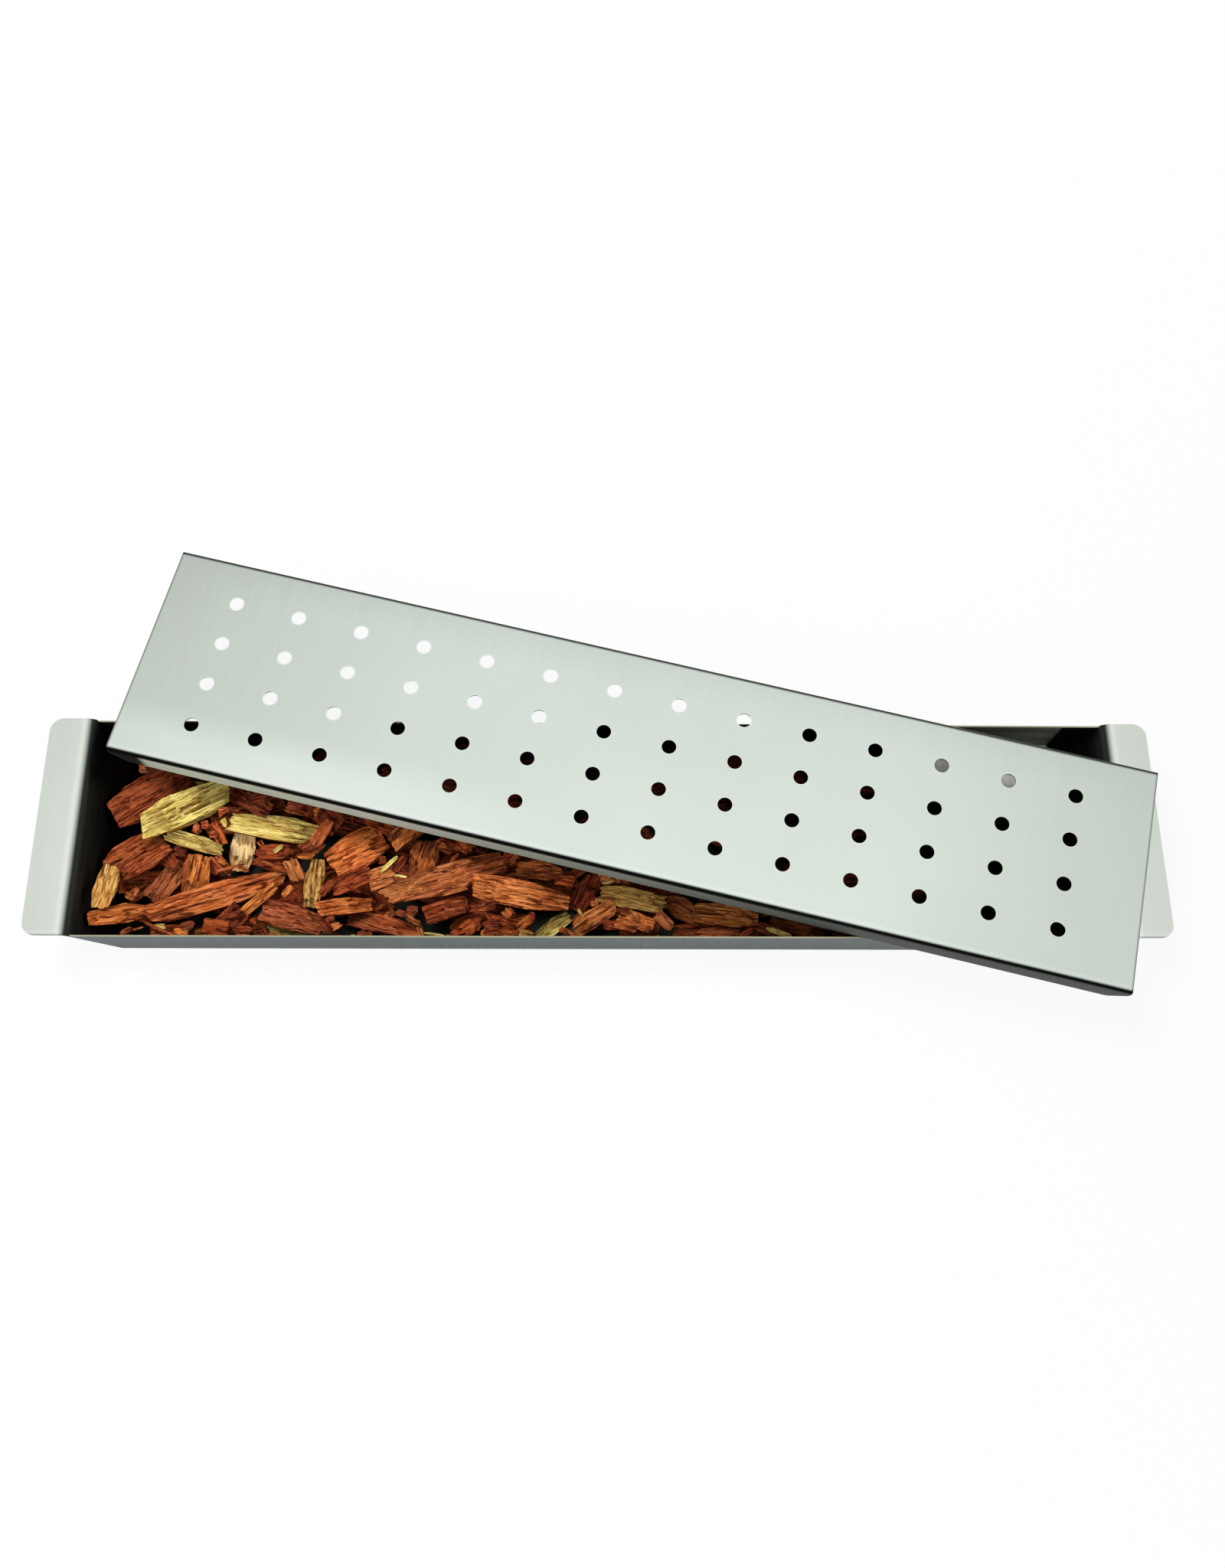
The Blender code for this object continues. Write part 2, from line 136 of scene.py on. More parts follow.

# Where the lid's steel changes tone, by painted highlights, light and shade
hole_ring_width = 0.45 * MM
plate_far = 90 * MM
plate_end = (lid_length / 2 - 0.8 * MM, lid_length / 2 - 0.25 * MM)
plate_corner_x = (-20 * MM, -120 * MM)
plate_corner_y = (-20 * MM, -32 * MM)
plate_fold = (plate_edge - 0.7 * MM, plate_edge + 0.1 * MM)
plate_fold_side = (-10 * MM, 10 * MM)
plate_front = (-35 * MM, -40 * MM)
plate_glint = (plate_edge - 1.2 * MM, 1.0 * MM)
flange_under_fold = (-2.2 * MM, -lid_fold_radius)
flange_end = (11.5 * MM - lid_length / 2, 14.5 * MM - lid_length / 2)
flange_fade = 90 * MM

# Noise scales of steel and wood, per metre, how deep their relief is and how wood shines
brush_scale = (3200, 50, 50)
band_scale = (600, 20, 20)
cloud_scale = 14.0
reflection_streak_scale = (60, 200, 260)
wander_scale = 140.0
streak_scale = (70, 800, 800)
fine_scale = (260, 2600, 2600)
crack_scale = (85, 1300, 1300)
patch_scale = (60, 170, 170)
steel_relief = 0.012 * MM
wood_relief = 0.32 * MM
wood_specular = 0.08
grain_wander = 1.6 * MM

# How a wood chip is split
fibre_pitch = 0.42 * MM         # spacing of the modelled fibres across a chip
station_pitch = 0.8 * MM        # spacing of a chip's sections along it
least_fibres = 5
least_stations = 6
wood_crease = math.radians(28)
side_inset_share = 0.02         # of a chip's width, beside its outer fibres
end_inset_share = 0.01          # of a fibre's length, before each of its ends
chip_jag_share = 0.08           # of a fibre's length, how ragged the ends are
jag_choices = (0.4, 0.7, 1.2)
jag_span = 14 * MM              # a longer fibre is no more ragged than this one
clump_size = 2.6 * MM
splinter_size = 0.8 * MM
least_thickness = 0.02 * MM
fibre_size = (11 * MM, 0.9 * MM)        # along and across the grain
wave_size = (13 * MM, 4 * MM)
ledge_size = (15 * MM, 3.2 * MM)
ledge_steps = 3.0
ledge_level = 0.66              # a step that lies below it is sunk
fibre_depth = 0.10 * MM
wave_depth = 0.35 * MM
ledge_depth = 0.6 * MM
groove_count = (2, 4)
groove_share = (0.2, 0.7)       # of a fibre's length
groove_depth = 1.2 * MM
groove_half = 0.45 * MM
groove_bend = 0.8 * MM          # to either side
most_sunk = 2.4 * MM
most_sunk_share = 0.6           # of the thickness
under_wave = 0.3 * MM
under_fibre = 0.2 * MM
under_share = 0.25
end_thins_share = 0.06          # of a fibre's length, over which its ends grow thin
ply_count = (3, 5)
ply_half_share = (0.12, 0.38)   # of a chip's width
ply_far_share = (0.06, 0.42)    # of a fibre's length
ply_depth_share = (0.25, 0.6)   # of the thickness
ply_end_share = 0.02            # of a fibre's length, over which a ply's edge sinks
ply_ragged = 1.3 * MM
ply_edge = 0.25 * MM
fibre_shade = 1.0 * MM          # depths at which the painted shade of hollows is full
sunk_shade = 10 / 3 * MM

# How the loose bits lie
heap_cell = 0.7 * MM            # grid on which they are laid
heap_below_rim = 0.5 * MM
heap_margin = 3 * heap_cell
lid_margin = 2 * heap_cell
loose_seed = 5
loose_tries = 40
loose_heading = 1.2             # radians, to either side of the tray's length
loose_slopes = (0.35, 0.45)     # along and across a bit
loose_sinks_share = 0.2         # of a bit's thickness, how deep the next one sinks into it
loose_coarse = 1.1
loose_jag_share = 0.12
# Loose bits between the chips: wood, how many, then the least and most length, width and
# thickness in millimetres, large ones first
loose_kinds = (
    ("dark", 60, (14, 28), (6.0, 11.0), (1.4, 2.6)),
    ("red", 40, (12, 24), (5.0, 9.0), (1.4, 2.4)),
    ("orange", 14, (8, 18), (4.0, 7.5), (1.2, 2.2)),
    ("dark", 70, (7, 15), (3.0, 6.5), (1.0, 1.8)),
    ("red", 44, (7, 14), (2.6, 5.5), (1.0, 1.8)),
    ("ochre", 6, (6, 13), (2.0, 4.0), (0.8, 1.5)),
    ("orange", 16, (5, 11), (1.8, 3.6), (0.8, 1.4)),
    ("yellow", 12, (4, 12), (1.0, 2.6), (0.6, 1.2)),
    ("red", 30, (9, 18), (0.9, 1.7), (0.7, 1.2)),
    ("dark", 70, (3, 8), (1.6, 3.4), (0.8, 1.4)),
    ("red", 26, (3, 6), (1.4, 2.8), (0.7, 1.3)),
    ("yellow", 8, (2, 6), (0.8, 1.5), (0.5, 0.9)),
)
lid_edge_kinds = (              # the ones that show under the lid's front edge
    ("dark", 34, (14, 28), (6.0, 11.0), (1.4, 2.6)),
    ("red", 24, (8, 18), (3.0, 6.0), (1.0, 2.0)),
)
lid_edge_reach = 11 * MM
lid_edge_ceiling = 9 * MM
lid_overlap = 2 * MM            # how far the open heap reaches below the lid's edges
under_lid_kinds = (
    ("dark", 70, (12, 26), (5.0, 10.0), (1.4, 2.6)),
    ("dark", 60, (5, 12), (2.0, 5.0), (1.0, 1.8)),
)
under_lid_ceiling = 6 * MM
open_ceiling = 15 * MM
open_left_end = 3 * MM          # bare floor at the left end
under_lid_end = 118 * MM        # where the chips end, right of the tray's middle
cover_share = 0.12              # of a loose bit's area, how much may lie on a chip that shows
first_shown_chip = 27
# Sections of a bit: the place along it and the least width, as shares
bit_section_shares = ((-0.5, 0.6), (-0.3, 0.9), (0.3, 0.9), (0.5, 0.5))

# Studio: lamps by name, place, size and watts, and the sky that the metal mirrors by axis,
# brightest place and spread
lamps = (
    ("key", (-0.5, 0.5, 1.1), 0.5, 13),
    ("fill", (-0.5, -0.8, 0.7), 0.6, 6),
)
sky_spread = (("X", 0.02, 0.75), ("Y", 0.2, 0.5))
sky_loss = 0.42
sky_light = 0.35
floor_size = 4
floor_drop = 0.2 * MM
floor_glow = (tab_span * 0.55, tab_span * 1.4)
floor_cloud_scale = 3.0


# Nodes


class Nodes:
    """Short calls for building a material's node tree."""

    def __init__(self, tree):
        self.tree = tree
        tree.nodes.clear()

    def add(self, kind, **settings):
        node = self.tree.nodes.new(kind)
        for key, value in settings.items():
            setattr(node, key, value)
        return node

    def link(self, source, target):
        self.tree.links.new(source, target)

    def put(self, socket, value):
        if isinstance(value, bpy.types.NodeSocket):
            self.link(value, socket)
        else:
            socket.default_value = value

    def fed(self, kind, *values, **settings):
        """The first output of a new node whose first inputs get these values."""
        node = self.add(kind, **settings)
        for socket, value in zip(node.inputs, values):
            self.put(socket, value)
        return node.outputs[0]

    def math(self, operation, a, b=0.0, clamp=False):
        return self.fed("ShaderNodeMath", a, b, operation=operation, use_clamp=clamp)

    def product(self, first, *others):
        for other in others:
            first = self.math("MULTIPLY", first, other)
        return first

    def squares(self, first, second):
        """The sum of two squares."""
        return self.math("ADD", self.math("POWER", first, 2.0), self.math("POWER", second, 2.0))

    def lifted(self, value, share):
        """1 plus a share of a value."""
        return self.math("ADD", self.product(value, share), 1.0)

    def remap(self, value, low, high, to_low=0.0, to_high=1.0):
        return self.fed("ShaderNodeMapRange", value, low, high, to_low, to_high)

    def mix(self, factor, a, b, blend="MIX"):
        node = self.add("ShaderNodeMix", data_type="RGBA", blend_type=blend)
        self.put(node.inputs[0], factor)
        self.put(node.inputs[6], a)
        self.put(node.inputs[7], b)
        return node.outputs[2]

    def noise(self, vector, scale, detail=2.0, roughness=0.5, distortion=0.0, output="Fac"):
        node = self.add("ShaderNodeTexNoise")
        for name, value in (("Vector", vector), ("Scale", scale), ("Detail", detail),
                            ("Roughness", roughness), ("Distortion", distortion)):
            self.put(node.inputs[name], value)
        return node.outputs[output]

    def stretched(self, vector, scale):
        node = self.add("ShaderNodeMapping")
        self.put(node.inputs["Vector"], vector)
        node.inputs["Scale"].default_value = scale
        return node.outputs[0]

    def wavy(self, vector, scale, reach):
        """A place shifted by slow noise, so that fibres don't run dead straight."""
        shift = self.noise(vector, scale, 1.0, output="Color")
        return self.fed("ShaderNodeVectorMath", shift, (reach, reach, reach), vector,
                        operation="MULTIPLY_ADD")

    def ramp(self, value, stops):
        node = self.add("ShaderNodeValToRGB")
        self.put(node.inputs[0], value)
        band = node.color_ramp
        while len(band.elements) < len(stops):
            band.elements.new(0.5)
        for element, (position, color) in zip(band.elements, stops):
            element.position = position
            element.color = (*color, 1)
        return node.outputs[0]

    def axis(self, vector, name):
        node = self.add("ShaderNodeSeparateXYZ")
        self.put(node.inputs[0], vector)
        return node.outputs[name]

    def dim(self, color, factor):
        node = self.add("ShaderNodeVectorMath", operation="SCALE")
        self.put(node.inputs[0], color)
        self.put(node.inputs["Scale"], factor)
        return node.outputs[0]

    def peak(self, value, at, half):
        """1 at a place and 0 from half beyond it on."""
        away = self.math("ABSOLUTE", self.math("SUBTRACT", value, at))
        return self.remap(away, 0.0, half, 1.0, 0.0)

    def band(self, value, low, high, soft):
        """1 between two places, with soft edges inside them."""
        rise = self.remap(value, low, low + soft)
        fall = self.remap(value, high - soft, high, 1.0, 0.0)
        return self.product(rise, fall)

    def bump(self, height, distance):
        node = self.add("ShaderNodeBump")
        self.put(node.inputs["Height"], height)
        node.inputs["Distance"].default_value = distance
        return node.outputs[0]

    def show_mixed(self, factor, first, second, kind):
        """Send a mix of two shaders to an output."""
        both = self.fed("ShaderNodeMixShader", factor, first, second)
        self.link(both, self.add(kind).inputs["Surface"])


def new_material(name):
    made = bpy.data.materials.new(name)
    made.use_nodes = True
    return made, Nodes(made.node_tree)


def finish_material(nodes, color, roughness, metallic, normal, specular):
    shader = nodes.add("ShaderNodeBsdfPrincipled")
    for name, value in (("Base Color", color), ("Roughness", roughness), ("Metallic", metallic),
                        ("Normal", normal), ("Specular IOR Level", specular)):
        nodes.put(shader.inputs[name], value)
    nodes.link(shader.outputs[0], nodes.add("ShaderNodeOutputMaterial").inputs["Surface"])


# Steel


def steel(name, pale, deep, rough, metallic, shade, specular):
    """Brushed sheet: fine lines along the piece's own Y, with slow cloudy changes."""
    made, nodes = new_material(name)
    place = nodes.add("ShaderNodeTexCoord").outputs["Object"]
    fine = nodes.noise(nodes.stretched(place, brush_scale), 1.0)
    broad = nodes.noise(nodes.stretched(place, band_scale), 1.0)
    cloud = nodes.noise(place, cloud_scale)
    lines = nodes.math("ADD", nodes.product(fine, 0.65), nodes.product(broad, 0.35))
    tone = nodes.math("ADD", nodes.remap(lines, 0.3, 0.7, -0.35, 0.35),
                      nodes.remap(cloud, 0.3, 0.7, 0.35, 0.65), clamp=True)
    color = nodes.mix(tone, (*deep, 1), (*pale, 1))
    # the shade paints highlights, shade and reflections onto the steel's tone
    if shade:
        color = nodes.dim(color, shade(nodes, place))
    roughness = nodes.remap(lines, 0.3, 0.7, rough - 0.05, rough + 0.07)
    normal = nodes.bump(lines, steel_relief)
    finish_material(nodes, color, roughness, metallic, normal, specular)
    return made


def tab_shade(nodes, place):
    """Painted highlights beside each tab's bend and near its front edge, painted shade on the bend where
    it turns in and on the front edge, and painted light falling off from left to right.
    """
    x, y = nodes.axis(place, "X"), nodes.axis(place, "Y")
    reach = nodes.math("ABSOLUTE", x)
    side = nodes.remap(x, -tab_span / 2, tab_span / 2, 1.02, 0.97)
    glint = nodes.peak(reach, *tab_glint)
    dark = nodes.remap(reach, *tab_dark, 1.0, 0.05)
    edge = nodes.remap(y, *tab_front_edge, 1.0, 0.62)
    front = nodes.lifted(nodes.peak(y, *tab_front_glint), 0.08)
    return nodes.product(nodes.lifted(glint, 0.12), dark, side, edge, front)


def hole_ring(nodes, place):
    """1 at the rim of the nearest smoke hole, falling off to the plate round it."""
    parts = []
    for axis, pitch, count, shift in (("X", column_pitch, hole_columns, pattern_shift),
                                      ("Y", row_pitch, hole_rows, 0.0)):
        cell = nodes.math("DIVIDE", nodes.math("ADD", nodes.axis(place, axis), shift), pitch)
        cell = nodes.math("ADD", cell, (count - 1) / 2)
        nearest = nodes.math("MINIMUM", nodes.math("MAXIMUM", cell, 0.0), count - 1)
        away = nodes.math("SUBTRACT", cell, nodes.math("ROUND", nearest))
        parts.append(nodes.product(away, pitch))
    distance = nodes.math("SQRT", nodes.squares(*parts))
    rim = hole_diameter / 2
    return nodes.remap(distance, rim, rim + hole_ring_width, 1.0, 0.0)


def plate_shade(nodes, place):
    """Painted highlights round the hole rims and along the front edge, painted light on the front left
    corner, and painted shade on the folds where they turn down, towards the ends and at the cut ends.
    """
    x, y = nodes.axis(place, "X"), nodes.axis(place, "Y")
    reach, across = nodes.math("ABSOLUTE", x), nodes.math("ABSOLUTE", y)
    far = nodes.remap(reach, plate_far, lid_length / 2, 1.0, 0.90)
    ends = nodes.remap(reach, *plate_end, 1.0, 0.4)
    corner = nodes.product(nodes.remap(x, *plate_corner_x), nodes.remap(y, *plate_corner_y))
    turned_down = nodes.product(nodes.remap(across, *plate_fold),
                                nodes.remap(y, *plate_fold_side, 0.99, 0.93))
    glint = nodes.product(nodes.peak(across, *plate_glint), nodes.remap(y, *plate_front))
    # painted highlights: the front glint and the hole rims
    lift = nodes.math("ADD", nodes.product(glint, 0.08), nodes.product(hole_ring(nodes, place), 0.12))
    left = nodes.math("SUBTRACT", 1.0, turned_down)
    return nodes.product(nodes.math("ADD", lift, 1.0), nodes.lifted(corner, 0.17), far, left, ends)


def flange_shade(nodes, place):
    """Painted light, lighter towards the left, but painted shade at the very end and below the fold."""
    x = nodes.axis(place, "X")
    under_fold = nodes.remap(nodes.axis(place, "Z"), *flange_under_fold, 1.0, 0.15)
    end = nodes.remap(x, *flange_end, 0.04, 1.0)
    return nodes.product(nodes.remap(x, -flange_fade, 0.0, 1.0, 0.42),
                         nodes.remap(x, 0.0, flange_fade, 1.0, 0.2), under_fold, end)


def wall_shade(nodes, place):
    """Painted shade: darker towards the floor."""
    return nodes.remap(nodes.axis(place, "Z"), 0.0, wall_light, 0.45, 1.0)


def painted_reflection(nodes, place, start, full):
    """A painted reflection: a streaky lighter patch at the right end, fading in from the left."""
    x = nodes.axis(place, "X")
    end = nodes.band(x, start, reflection_end, reflection_soft)
    streaks = nodes.noise(nodes.stretched(place, reflection_streak_scale), 1.0, 3)
    return nodes.product(end, nodes.remap(x, start, full), nodes.remap(streaks, 0.35, 0.65, 0.55, 1.0))


def inside_shade(nodes, place):
    """Painted shade, dark all over, but for a painted reflection, a streaky patch at the right end by the
    back wall, and painted light towards the rim.
    """
    patch = nodes.product(painted_reflection(nodes, place, *reflection_inside),
                          nodes.remap(nodes.axis(place, "Y"), *reflection_depth))
    rim = nodes.remap(nodes.axis(place, "Z"), inside_rim, tray_depth, 1.0, 1.6)
    return nodes.product(nodes.lifted(patch, 28.0), rim)


def back_wall_shade(nodes, place):
    """The same painted reflection where it runs up the back wall, with painted shade, darker towards the
    rim.
    """
    low = nodes.remap(nodes.axis(place, "Z"), 0.0, tray_depth, 1.0, 0.6)
    return nodes.product(nodes.lifted(painted_reflection(nodes, place, *reflection_back_wall), 60.0), low)


def build_steels():
    """The steels by name, each from pale and deep colour, roughness, metallic, shade, specular."""
    rows = {
        "plate": ((0.885, 0.97, 0.89), (0.745, 0.825, 0.75), 0.30, 1.0, plate_shade, 0.5),
        "flange": ((0.67, 0.75, 0.65), (0.58, 0.65, 0.56), 0.45, 0.1, flange_shade, 0.04),
        # the steel darkened as painted shade, inside the tray and under the lid
        "inside": ((0.032, 0.033, 0.030), (0.010, 0.010, 0.009), 0.34, 1.0, inside_shade, 0.5),
        "tab": ((0.90, 0.96, 0.88), (0.76, 0.81, 0.74), 0.30, 1.0, tab_shade, 0.5),
        # the steel darkened as a painted reflection of darker surroundings, on the outer walls
        "wall": ((0.085, 0.110, 0.114), (0.053, 0.072, 0.075), 0.40, 0.5, wall_shade, 0.05),
        "cut_edge": ((0.66, 0.64, 0.44), (0.52, 0.50, 0.34), 0.40, 1.0, None, 0.5),
        # the steel darkened as painted shade, on the inner back wall
        "back_wall": ((0.016, 0.017, 0.014), (0.010, 0.011, 0.009), 0.45, 0.0, back_wall_shade, 0.2),
    }
    return {name: steel(name + "_steel", *row) for name, row in rows.items()}


def tray_steel(c, n):
    """Which steel a face of the tray shows, by its middle and its normal."""
    outward_side = abs(c.y) > tray_width / 2 - sheet / 2 and n.y * c.y > 0
    outward_end = math.copysign(n.x, n.x * c.x) > math.cos(steep)
    if abs(c.x) > bend_end and n.z > leaning:
        return "tab"
    if n.z > leaning and abs(c.y) > tray_width / 2 - sheet and c.z > tray_depth - sheet:
        return "cut_edge"
    if n.z < -facing or outward_side or outward_end:
        return "wall"
    if n.y < -facing and c.y > tray_width / 2 - 2 * sheet:
        return "back_wall"
    return "inside"


def lid_steel(c, n):
    """Which steel a face of the lid shows."""
    if n.z < -leaning and c.z > -2 * sheet:
        return "inside"
    if c.z < flange_top:
        return "flange" if n.y * c.y > 0 else "inside"
    return "plate"


# Wood

# Colours of light, body, grain and the other wood in its patches, and the share up to which a
# piece takes the tints below
woods = {
    "red": ((0.86, 0.27, 0.080), (0.53, 0.112, 0.023), (0.05, 0.009, 0.005),
            (0.60, 0.165, 0.035), 1.0),
    "dark": ((0.50, 0.115, 0.032), (0.26, 0.042, 0.011), (0.025, 0.005, 0.004),
             (0.40, 0.085, 0.021), 1.0),
    "orange": ((0.93, 0.34, 0.075), (0.64, 0.165, 0.024), (0.09, 0.018, 0.007),
               (0.40, 0.09, 0.020), 1.0),
    "ochre": ((0.80, 0.48, 0.145), (0.54, 0.262, 0.058), (0.12, 0.045, 0.011),
              (0.46, 0.17, 0.036), 0.5),
    "yellow": ((0.92, 0.77, 0.26), (0.74, 0.54, 0.13), (0.20, 0.10, 0.022),
               (0.62, 0.40, 0.10), 0.25),
    "cream": ((0.96, 0.72, 0.36), (0.88, 0.58, 0.25), (0.52, 0.26, 0.09),
              (0.80, 0.43, 0.15), 0.1),
}
# The darker wood on the sides and the underside of a piece, as painted shade
shaded_side_woods = {"red": "dark", "dark": "dark", "orange": "red", "ochre": "red",
              "yellow": "orange", "cream": "orange"}
# Noise scale and colour
tints = ((9.0, (0.62, 0.56, 0.80)), (5.0, (0.90, 1.10, 1.22)))


def wood(name, light, body, grain, other, vary):
    """Split wood: fibres along the piece's own grain, patches of other wood, painted shade in the hollows
    and on the sides and underside.

    Pieces differ: each is multiplied by the tints, up to the share vary.
    """
    made, nodes = new_material(name)
    place = nodes.add("ShaderNodeAttribute", attribute_name="grain").outputs["Vector"]
    place = nodes.wavy(place, wander_scale, grain_wander)
    hollow = nodes.add("ShaderNodeAttribute", attribute_name="hollow").outputs["Fac"]
    streak = nodes.noise(nodes.stretched(place, streak_scale), 1.0, 5, 0.7, 0.6)
    fine = nodes.noise(nodes.stretched(place, fine_scale), 1.0, 2, 0.6)
    crack = nodes.noise(nodes.stretched(place, crack_scale), 1.0, 3, 0.6, 0.5)
    patch = nodes.noise(nodes.stretched(place, patch_scale), 1.0, 3, 0.6)
    fibres = nodes.math("ADD", nodes.product(streak, 0.6), nodes.product(fine, 0.4))
    half = tuple(0.5 * (a + b) for a, b in zip(body, grain))
    color = nodes.ramp(fibres, [(0.36, grain), (0.43, half), (0.5, body), (0.58, light)])
    inner = nodes.ramp(fibres, [(0.38, grain), (0.5, other), (0.62, light)])
    color = nodes.mix(nodes.remap(patch, 0.5, 0.6), color, inner)
    for scale, tint in tints:
        piece = nodes.noise(place, scale, 0)
        color = nodes.mix(nodes.remap(piece, 0.4, 0.62, 0.0, vary), color, (*tint, 1), "MULTIPLY")
    color = nodes.mix(nodes.remap(crack, 0.37, 0.43, 1.0, 0.0), color, (*grain, 1))
    # painted shade: darker in hollows and on the sides and underside
    color = nodes.mix(nodes.remap(hollow, 0.35, 1.0, 0.0, 0.85), color, (*grain, 1))
    height = nodes.math("ADD", nodes.product(fibres, 0.6), nodes.product(crack, 0.4))
    normal = nodes.bump(height, wood_relief)
    roughness = nodes.remap(fibres, 0.35, 0.65, 0.9, 0.6)
    finish_material(nodes, color, roughness, 0.0, normal, wood_specular)
    return made


def build_woods():
    """The materials of a piece's top and of its sides, by slot; the sides take a darker wood as painted
    shade.
    """
    made = {name: wood("wood_" + name, *row) for name, row in woods.items()}
    return {"wood_" + name: (made[name], made[shaded_side_woods[name]]) for name in woods}


# Bent sheet


def along_y(edge):
    first, second = edge.verts
    return abs(first.co.x - second.co.x) < rest_gap and abs(first.co.z - second.co.z) < rest_gap


def middle(edge):
    return (edge.verts[0].co + edge.verts[1].co) / 2


def rounded(bm, geom, offset, steps, affect="EDGES"):
    bmesh.ops.bevel(bm, geom=geom, offset=offset, offset_type="OFFSET", segments=steps,
                    profile=0.5, affect=affect)


def face_out(bm, outside):
    bmesh.ops.recalc_face_normals(bm, faces=bm.faces)
    bm.normal_update()
    widest = max(bm.faces, key=lambda face: face.calc_area())
    if widest.normal.dot(outside) < 0:
        bmesh.ops.reverse_faces(bm, faces=bm.faces)
    bm.normal_update()


def box_mesh(length, width, height):
    bm = bmesh.new()
    bmesh.ops.create_cube(bm, size=1)
    bmesh.ops.scale(bm, vec=(length, width, height), verts=bm.verts)
    return bm


def link_object(name, mesh):
    made = bpy.data.objects.new(name, mesh)
    bpy.context.scene.collection.objects.link(made)
    return made


def object_from(bm, name):
    mesh = bpy.data.meshes.new(name)
    bm.to_mesh(mesh)
    bm.free()
    return link_object(name, mesh)


def thicken(target):
    made = target.modifiers.new("sheet", "SOLIDIFY")
    made.thickness = sheet
    made.offset = -1
    made.use_even_offset = True
    made.use_quality_normals = True


def apply_modifiers(target):
    bpy.context.view_layer.update()
    graph = bpy.context.evaluated_depsgraph_get()
    mesh = bpy.data.meshes.new_from_object(target.evaluated_get(graph))
    target.modifiers.clear()
    target.data = mesh


def extend_end(bm, side, x, z):
    reach = max(side * middle(e).x for e in bm.edges if along_y(e))
    edges = [e for e in bm.edges if along_y(e) and side * middle(e).x > reach - rest_gap
             and e.is_boundary]
    pulled = bmesh.ops.extrude_edge_only(bm, edges=edges)["geom"]
    for vert in (v for v in pulled if isinstance(v, bmesh.types.BMVert)):
        vert.co.x = side * x
        vert.co.z = z


def end_rim(bm):
    """Split the side walls beside their corners, so that the rim between them stays level."""
    for side in (-1, 1):
        walls = [f for f in bm.faces if abs(f.normal.y) > math.sin(steep)]
        edges = {e for f in walls for e in f.edges}
        verts = {v for f in walls for v in f.verts}
        bmesh.ops.bisect_plane(bm, geom=walls + list(edges) + list(verts),
                               plane_co=(side * (rim_length / 2 - rim_corner), 0, 0),
                               plane_no=(side, 0, 0))


def build_tray():
    bm = box_mesh(rim_length, tray_width, tray_depth)
    bmesh.ops.translate(bm, vec=(0, 0, tray_depth / 2), verts=bm.verts)
    for vert in bm.verts:
        if vert.co.z < tray_depth / 2:
            vert.co.x *= floor_length / rim_length
    bm.normal_update()
    top = [f for f in bm.faces if f.normal.z > math.cos(end_slope)]
    bmesh.ops.delete(bm, geom=top, context="FACES_ONLY")
    tab_low = tab_top - sheet
    for side in (-1, 1):
        extend_end(bm, side, fold_x, tab_low)
        extend_end(bm, side, tab_span / 2, tab_low)
    face_out(bm, Vector((0, 0, -1)))
    bends = [e for e in bm.edges if along_y(e) and abs(abs(middle(e).x) - fold_x) < rest_gap]
    rounded(bm, bends, bend_run, tab_fold_steps)
    corners = [v for v in bm.verts if abs(v.co.x) > tab_span / 2 - rest_gap]
    rounded(bm, corners, tab_corner_radius, tab_corner_steps, "VERTICES")
    low = [e for e in bm.edges if all(v.co.z < rest_gap for v in e.verts)]
    rounded(bm, low, floor_fold, floor_fold_steps)
    end_rim(bm)
    tray = object_from(bm, "folded_tray")
    thicken(tray)
    return tray


def lid_pose():
    turn = Matrix.Rotation(lid_turn, 4, "Z") @ Matrix.Rotation(-lid_tip, 4, "Y")
    return Matrix.Translation((lid_right, lid_back, lid_height)) @ turn


def hole_places():
    for column in range(hole_columns):
        for row in range(hole_rows):
            yield ((column - (hole_columns - 1) / 2) * column_pitch - pattern_shift,
                   (row - (hole_rows - 1) / 2) * row_pitch)


def build_lid():
    bm = box_mesh(lid_length, lid_width, flange_depth)
    bmesh.ops.translate(bm, vec=(0, 0, -flange_depth / 2), verts=bm.verts)
    bm.normal_update()
    gone = [f for f in bm.faces if f.normal.z < -math.cos(end_slope)
            or abs(f.normal.x) > math.cos(end_slope)]
    bmesh.ops.delete(bm, geom=gone, context="FACES")
    for side in (-1, 1):
        bmesh.ops.bisect_plane(
            bm, geom=bm.verts[:] + bm.edges[:] + bm.faces[:], clear_outer=True,
            plane_co=(side * lid_length / 2, 0, -flange_end_depth),
            plane_no=(side * (flange_depth - flange_end_depth), 0, -flange_end_cut))
    face_out(bm, Vector((0, 0, 1)))
    tips = [v for v in bm.verts if v.co.z < -rest_gap]
    rounded(bm, tips, flange_tip_round, lid_tip_steps, "VERTICES")
    long_edges = [e for e in bm.edges if not e.is_boundary and not along_y(e)]
    rounded(bm, long_edges, lid_fold_radius, lid_fold_steps)
    lid = object_from(bm, "perforated_lid")
    thicken(lid)

    holes = bmesh.new()
    for x, y in hole_places():
        bmesh.ops.create_cone(holes, cap_ends=True, segments=hole_sides,
                              radius1=hole_diameter / 2, radius2=hole_diameter / 2,
                              depth=4 * sheet, matrix=Matrix.Translation((x, y, -sheet / 2)))
    cutter = object_from(holes, "holes")
    cut = lid.modifiers.new("holes", "BOOLEAN")
    cut.operation = "DIFFERENCE"
    cut.object = cutter
    apply_modifiers(lid)
    bpy.data.objects.remove(cutter)
    lid.matrix_world = lid_pose()
    return lid


def crisp(target, crease):
    target.data.shade_smooth()
    target.data.set_sharp_from_angle(angle=crease)


# Chips


